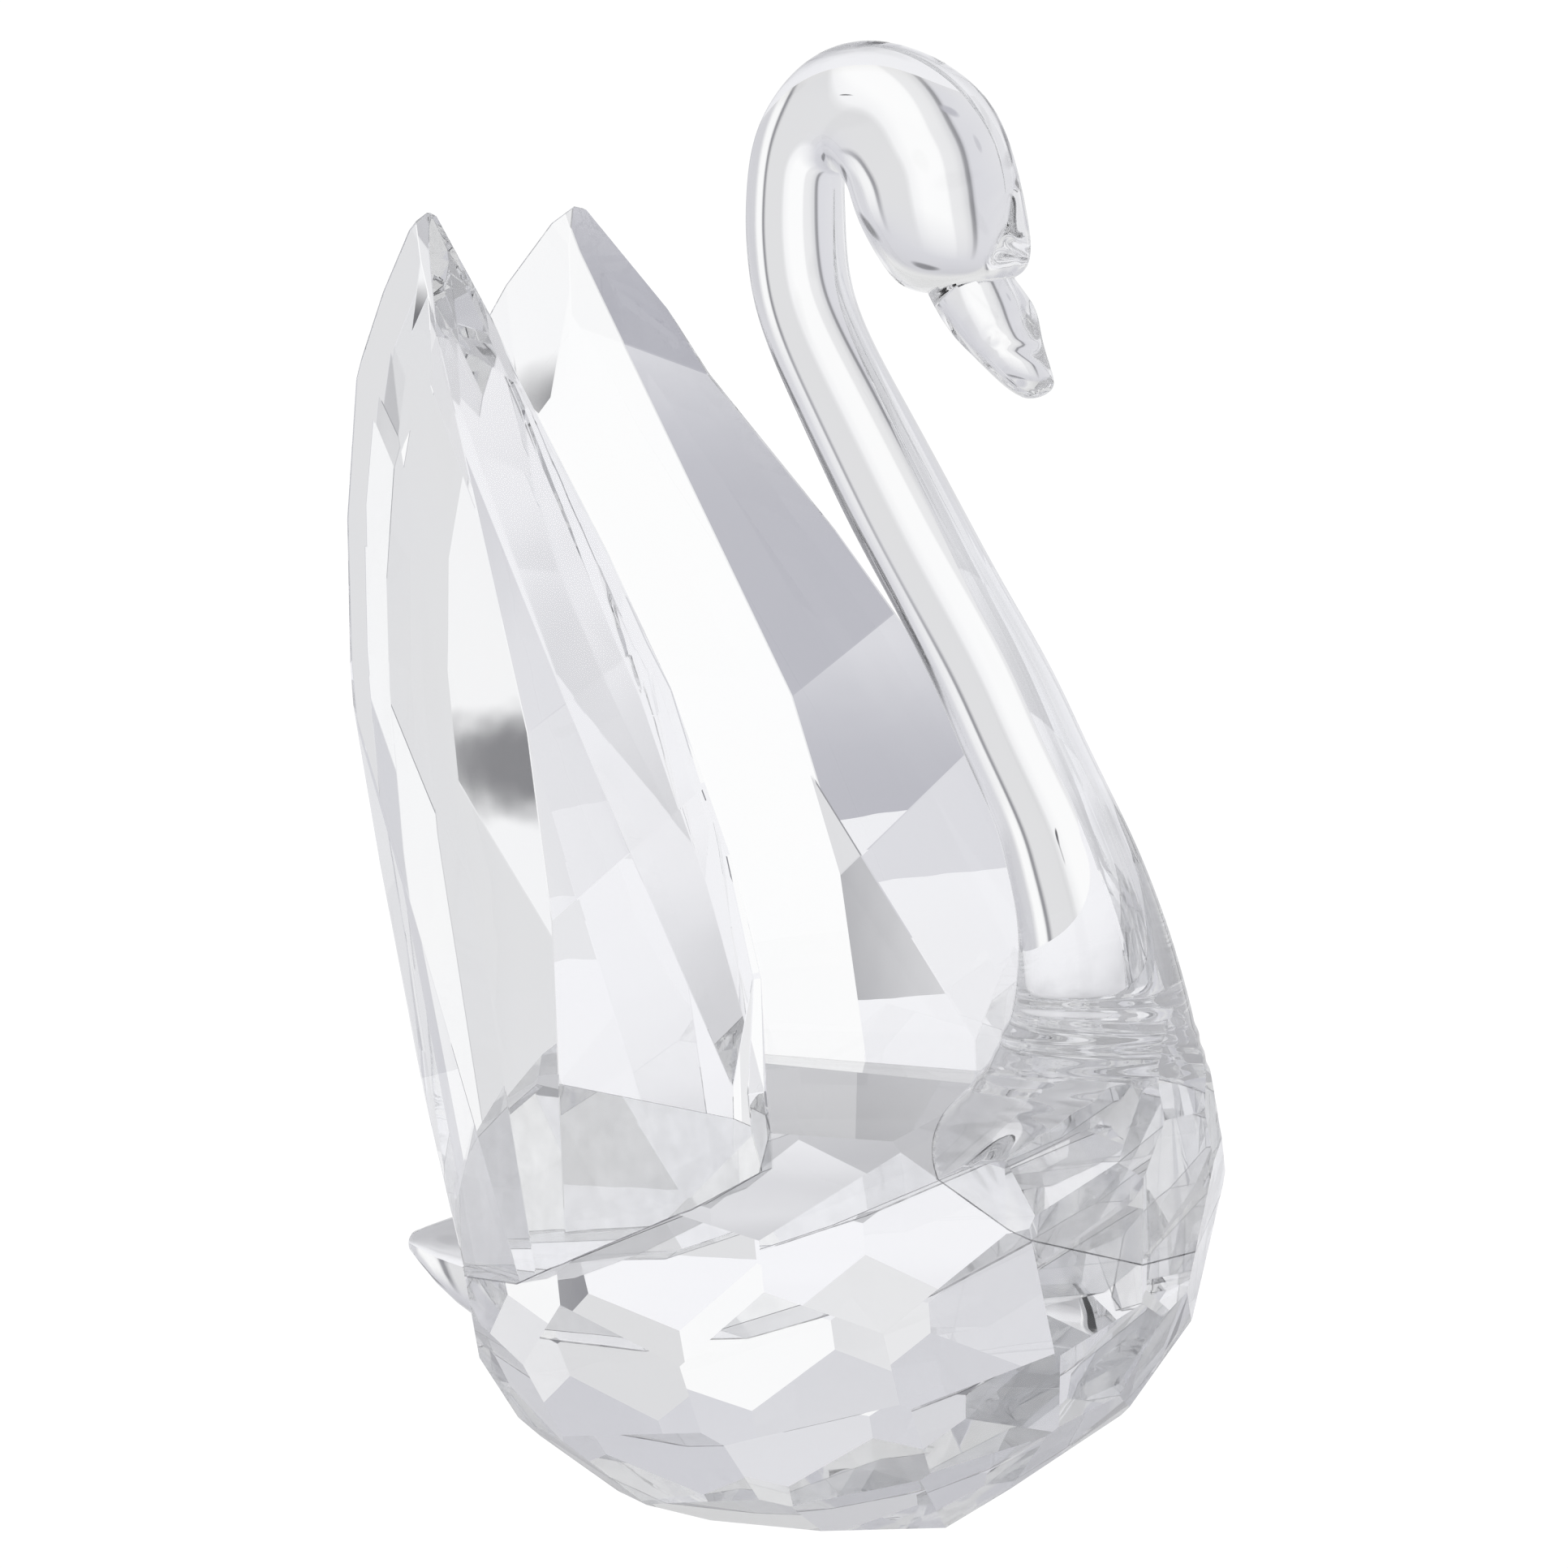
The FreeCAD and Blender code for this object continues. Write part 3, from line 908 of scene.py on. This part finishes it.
    def draw_lines(self, bm: bmesh.types.BMesh) -> None:
        """Give the drawn glass its faint lengthwise waves, strongest half way up the neck.

        Args:
            bm: the neck.
        """
        low, high = self.line_span
        for vert in bm.verts:
            rise = (vert.co.z - low) / (high - low)
            if 0.0 < rise < 1.0:
                facing = math.atan2(vert.normal.x, vert.normal.y)
                wave = sum(math.sin(lobes * facing + drift * math.tau * rise) / lobes
                           for lobes, drift in self.lines)
                vert.co += vert.normal * (self.line_height * wave * math.sin(math.pi * rise))

    def column(self) -> bmesh.types.BMesh:
        """Breast, neck and head before the seat is ground.

        Returns:
            A closed mesh.
        """
        bm = self.tube(self.beaded())
        self.draw_lines(bm)
        grind(bm, self.egg.breast() + self.egg.lower() + self.egg.level(), self.breast_top)
        return bm

    def build(self, crystal: bpy.types.Material) -> bpy.types.Object:
        """Make the neck piece.

        Args:
            crystal: its finish.

        Returns:
            The piece.
        """
        bm = self.column()
        point, normal = self.egg.neck_seat(0.0)
        grind(bm, [(point, -normal)])
        bill = self.tube(self.bill)
        self.engrave(bill)
        bm = cut_with(bm, [(bill, "UNION")])
        made = finished("neck_glass", bm, crystal)
        return placed(made, "crystal", "neck_and_head")

    def bond(self, adhesive: Sequence[bpy.types.Material]) -> bpy.types.Object:
        """Make the glue film on the neck seat."""
        return seat_film(self.column(), self.egg.neck_seat, "neck_bond", adhesive)


@dataclass
class Tail:
    """Pear-shaped point at the rear; radii go with the share of the way to the tip."""

    egg: Egg
    tip: tuple[float, float] = (37.6, 15.5)
    radii: tuple[tuple[float, float], ...] = (
        (-0.25, 4.5), (0.0, 4.5), (0.18, 4.25), (0.40, 3.55), (0.62, 2.6), (0.82, 1.5), (0.94, 0.8))
    steps: int = 32

    def spindle(self) -> bmesh.types.BMesh:
        """The turned tail with some length to spare at the root.

        Returns:
            A closed mesh.
        """
        root = self.egg.tail_seat(0.0)[0]
        tip = Vector((0.0, *self.tip))
        axis = (tip - root).normalized()
        length = (tip - root).length
        bm = bmesh.new()
        verts = [bm.verts.new(root + axis * (share * length) + Vector((radius, 0.0, 0.0)))
                 for share, radius in self.radii]
        verts.append(bm.verts.new(tip))
        verts.insert(0, bm.verts.new(root + axis * (self.radii[0][0] * length)))
        edges = [bm.edges.new(pair) for pair in zip(verts, verts[1:])]
        bmesh.ops.spin(bm, geom=verts + edges, cent=root, axis=axis, dvec=(0.0, 0.0, 0.0),
                       angle=math.tau, steps=self.steps, use_merge=True)
        bmesh.ops.remove_doubles(bm, verts=bm.verts, dist=10.0 * MERGE)
        bmesh.ops.recalc_face_normals(bm, faces=bm.faces)
        return bm

    def build(self, crystal: bpy.types.Material) -> bpy.types.Object:
        """Make the tail piece.

        Args:
            crystal: its finish.

        Returns:
            The piece.
        """
        bm = self.spindle()
        for face in bm.faces:
            face.smooth = True
        point, normal = self.egg.tail_seat(0.0)
        grind(bm, [(point, -normal)])
        return placed(finished("tail_glass", bm, crystal), "crystal", "tail")

    def bond(self, adhesive: Sequence[bpy.types.Material]) -> bpy.types.Object:
        """Make the glue film on the tail flat."""
        return seat_film(self.spindle(), self.egg.tail_seat, "tail_bond", adhesive)


# ------------------------------------------------------------------ studio
@dataclass(frozen=True)
class Flag:
    """Soft dark card: bearing right of the view, elevation and half sizes in degrees."""

    bearing: float
    elevation: float
    half_width: float
    half_height: float
    colour: tuple[float, float, float]
    fade: tuple[float, float] = (0.2, 1.6)      # squared reach, in half sizes, of its soft edge

    def mask(self, nodes: Nodes, turn: Link, lift: Link) -> Link:
        """How much of a direction the card covers.

        Args:
            nodes: the world's nodes.
            turn: bearing of the direction in degrees.
            lift: elevation of the direction in degrees.

        Returns:
            0 beside the card, 1 in its middle.
        """
        across = (turn - self.bearing) * (1.0 / self.half_width)
        upwards = (lift - self.elevation) * (1.0 / self.half_height)
        return nodes.eased(across * across + upwards * upwards, self.fade, (1.0, 0.0))


@dataclass
class Studio:
    """Table sheet that glows as painted light, soft surrounding light and camera; distances in metres,
    angles in degrees.
    """

    azimuth: float = -55.0
    elevation: float = 6.0
    distance: float = 0.5367
    lens: float = 180.0
    sensor: float = 36.0
    aim: tuple[float, float, float] = (0.0019, 0.0023, 0.0497)
    clip: tuple[float, float] = (0.01, 20.0)
    table_radius: float = 0.16
    table_sides: int = 96
    bounces: int = 40
    mirror_bounces: int = 24
    clear_bounces: int = 32
    brightest_echo: float = 4.0
    surround: Stops = (
        (-180, 0.75, 0.75, 0.77), (-135, 0.90, 0.90, 0.92), (-100, 0.88, 0.88, 0.90),
        (-70, 0.80, 0.80, 0.82), (-40, 0.74, 0.74, 0.77), (-20, 0.70, 0.70, 0.74),
        (-18.6, 0.26, 0.26, 0.28), (-17, 0.28, 0.28, 0.30), (-15.6, 0.68, 0.68, 0.70),
        (-12, 0.82, 0.82, 0.83), (-7, 0.84, 0.84, 0.85), (-5.5, 1.0, 1.0, 1.0),
        (5.0, 1.0, 1.0, 1.0), (10, 0.92, 0.92, 0.93), (12, 0.74, 0.74, 0.75), (29, 0.74, 0.74, 0.75),
        (30.5, 0.24, 0.24, 0.26), (32.5, 0.28, 0.28, 0.30), (34, 0.98, 0.98, 0.98),
        (41, 0.98, 0.98, 0.98), (47, 0.62, 0.62, 0.65), (75, 0.58, 0.58, 0.62),
        (100, 0.85, 0.85, 0.85), (135, 0.90, 0.90, 0.90), (180, 0.75, 0.75, 0.77))
    overhead: Stops = (
        (-90, 0.75, 0.75, 0.75), (-30, 0.78, 0.77, 0.74), (10, 0.74, 0.74, 0.77), (22, 0.68, 0.68, 0.72),
        (38, 0.60, 0.60, 0.64), (48, 0.80, 0.80, 0.80), (90, 0.58, 0.58, 0.58))
    horizon_share: Stops = (
        (-45, 0.0, 0.0, 0.0), (-25, 1.0, 1.0, 1.0), (8, 1.0, 1.0, 1.0), (24, 0.0, 0.0, 0.0))
    flags: tuple[Flag, ...] = (
        Flag(-21.5, -18.1, 4.5, 1.7, (0.48, 0.48, 0.53)),
        Flag(-29.5, -12.3, 2.0, 1.6, (0.58, 0.58, 0.62)),
        Flag(8.8, -10.0, 1.0, 0.40, (0.10, 0.10, 0.11)),
        Flag(60.0, 30.0, 14.0, 5.0, (0.12, 0.12, 0.13)),
        Flag(-62.0, 22.0, 10.0, 6.0, (0.16, 0.16, 0.18)),
        Flag(12.0, 34.0, 9.0, 3.0, (0.20, 0.20, 0.22)),
        Flag(-160.0, 18.0, 10.0, 6.0, (0.14, 0.14, 0.16)),
        Flag(150.0, 12.0, 8.0, 5.0, (0.20, 0.19, 0.18)))

    def back(self) -> Vector:
        """Unit vector from the swan to the camera."""
        return direction(self.azimuth, self.elevation)

    def camera(self) -> None:
        """Set up the camera."""
        data = bpy.data.cameras.new("camera")
        data.lens, data.sensor_width = self.lens, self.sensor
        data.clip_start, data.clip_end = self.clip
        made = bpy.data.objects.new("camera", data)
        bpy.context.scene.collection.objects.link(made)
        made.location = Vector(self.aim) + self.back() * self.distance
        made.rotation_mode = "QUATERNION"
        made.rotation_quaternion = (-self.back()).to_track_quat("-Z", "Y")
        bpy.context.scene.camera = made

    def floor(self) -> None:
        """Set up the table sheet, whose glow is painted light with a painted shadow under the swan."""
        bm = bmesh.new()
        bmesh.ops.create_circle(bm, segments=self.table_sides, radius=self.table_radius, cap_ends=True)
        mesh = bpy.data.meshes.new("table")
        bm.to_mesh(mesh)
        bm.free()
        mesh.materials.append(PaleSheet().material())
        made = bpy.data.objects.new("table", mesh)
        bpy.context.scene.collection.objects.link(made)

    def light(self) -> None:
        """Set up the soft light: graded greys all round, cards, and a backdrop plain to the camera."""
        world = bpy.data.worlds.new("studio")
        bpy.context.scene.world = world
        world.use_nodes = True
        nodes = Nodes(world.node_tree)
        way = nodes.add("ShaderNodeTexCoord", out="Generated")
        upright = Vector((0.0, 0.0, 1.0))
        ahead = -self.back()
        ahead = Vector((ahead.x, ahead.y, 0.0)).normalized()
        aside = ahead.cross(upright)

        def along(axis: Vector) -> Link:
            """Part of the direction along an axis."""
            return nodes.add("ShaderNodeVectorMath", {"operation": "DOT_PRODUCT"},
                             {0: way, 1: tuple(axis)}, out="Value")

        turn = nodes.add("ShaderNodeMath", {"operation": "ARCTAN2"}, {0: along(aside), 1: along(ahead)})
        lift = nodes.add("ShaderNodeMath", {"operation": "ARCSINE"}, {0: along(upright)})
        around = self.ramp(nodes, turn, 360.0, self.surround)
        above = self.ramp(nodes, lift, 180.0, self.overhead)
        room = nodes.blend(self.ramp(nodes, lift, 180.0, self.horizon_share), above, around)
        turned, lifted = turn * DEGREES, lift * DEGREES
        for flag in self.flags:
            room = nodes.blend(flag.mask(nodes, turned, lifted), room, (*flag.colour, 1.0))
        seen = nodes.add("ShaderNodeLightPath", out="Is Camera Ray")
        backdrop = nodes.add("ShaderNodeBackground", sockets={"Color": WHITE, "Strength": PLAIN_WHITE})
        soft = nodes.add("ShaderNodeBackground", sockets={"Color": room, "Strength": 1.0})
        both = nodes.add("ShaderNodeMixShader", sockets={0: seen, 1: soft, 2: backdrop})
        nodes.add("ShaderNodeOutputWorld", sockets={"Surface": both})

    @staticmethod
    def ramp(nodes: Nodes, angle: Link, span: float, stops: Stops) -> Link:
        """Tone at an angle.

        Args:
            nodes: the world's nodes.
            angle: the angle in radians, zero in the middle of the ramp.
            span: degrees from end to end of the ramp.
            stops: the tones.

        Returns:
            The colour.
        """
        placed_stops = [(0.5 + degrees / span, (r, g, b, 1.0)) for degrees, r, g, b in stops]
        factor = angle * (1.0 / math.radians(span)) + 0.5
        return nodes.add("ShaderNodeValToRGB", {"stops": placed_stops}, {0: factor})

    def exposure(self) -> None:
        """Plain film response and enough bounces for stacked glass."""
        scene = bpy.context.scene
        scene.view_settings.view_transform = "Standard"
        scene.cycles.max_bounces = self.bounces
        scene.cycles.transmission_bounces = self.bounces
        scene.cycles.glossy_bounces = self.mirror_bounces
        scene.cycles.transparent_max_bounces = self.clear_bounces
        scene.cycles.sample_clamp_indirect = self.brightest_echo


def main() -> None:
    """Build every piece in order and set up the studio."""
    logging.basicConfig(level=logging.INFO, format="%(name)s %(message)s")
    ground = ClearCrystal("ground_crystal").material()
    drawn = ClearCrystal("drawn_crystal", wave_height=0.0015).material()
    edge = CuredAdhesive("adhesive_edge", alpha=1.1, colour=(0.16, 0.16, 0.18, 1.0))
    adhesive = (CuredAdhesive().material(), edge.material())
    egg = Egg()
    wings = (Wing(Side.LEFT, egg), Wing(Side.RIGHT, egg))
    Body(egg, wings).build(ground)
    for wing in wings:
        wing.build(ground)
        wing.bond(adhesive)
    neck, tail = Neck(egg), Tail(egg)
    neck.build(drawn)
    neck.bond(adhesive)
    tail.build(ground)
    tail.bond(adhesive)
    studio = Studio()
    studio.camera()
    studio.floor()
    studio.light()
    studio.exposure()


if __name__ == "__main__":
    main()
